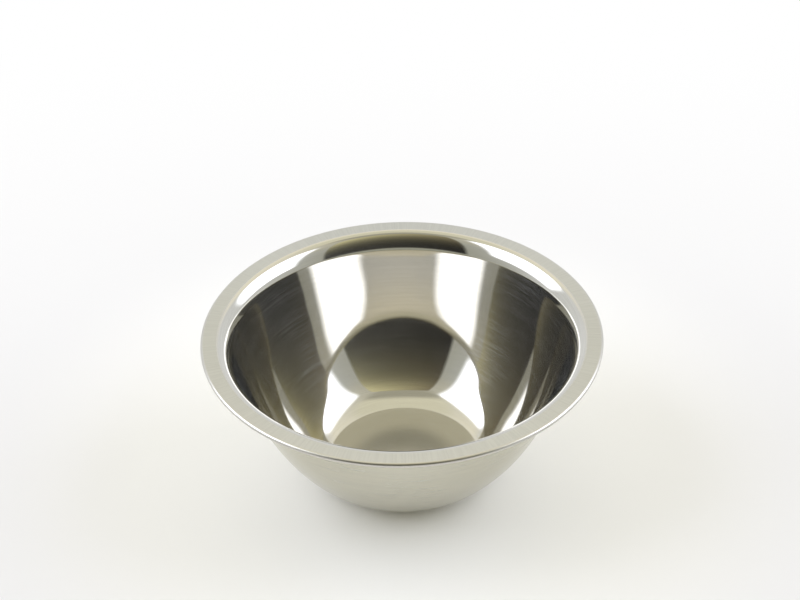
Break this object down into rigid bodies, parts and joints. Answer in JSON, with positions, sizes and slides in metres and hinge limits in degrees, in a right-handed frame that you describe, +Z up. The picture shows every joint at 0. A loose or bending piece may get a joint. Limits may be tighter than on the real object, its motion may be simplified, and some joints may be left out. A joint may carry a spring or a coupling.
{
  "type": "prep bowl",
  "caption": "Round stainless steel prep bowl with a flat bottom, steep flared wall, short neck and a wide flat rim curled under at its edge.",
  "frame": {"origin": "middle of the flat base, on the surface that the bowl stands on", "axes": "+Z up along the bowl's own axis of revolution; X and Y are alike, because the bowl is round"},
  "size_m": [0.2, 0.2, 0.081],
  "materials": {
    "steel": "polished inside, brushed rim, satin outside"
  },
  "bodies": {
    "root": {"bowl": "steel"}
  },
  "joints": []
}
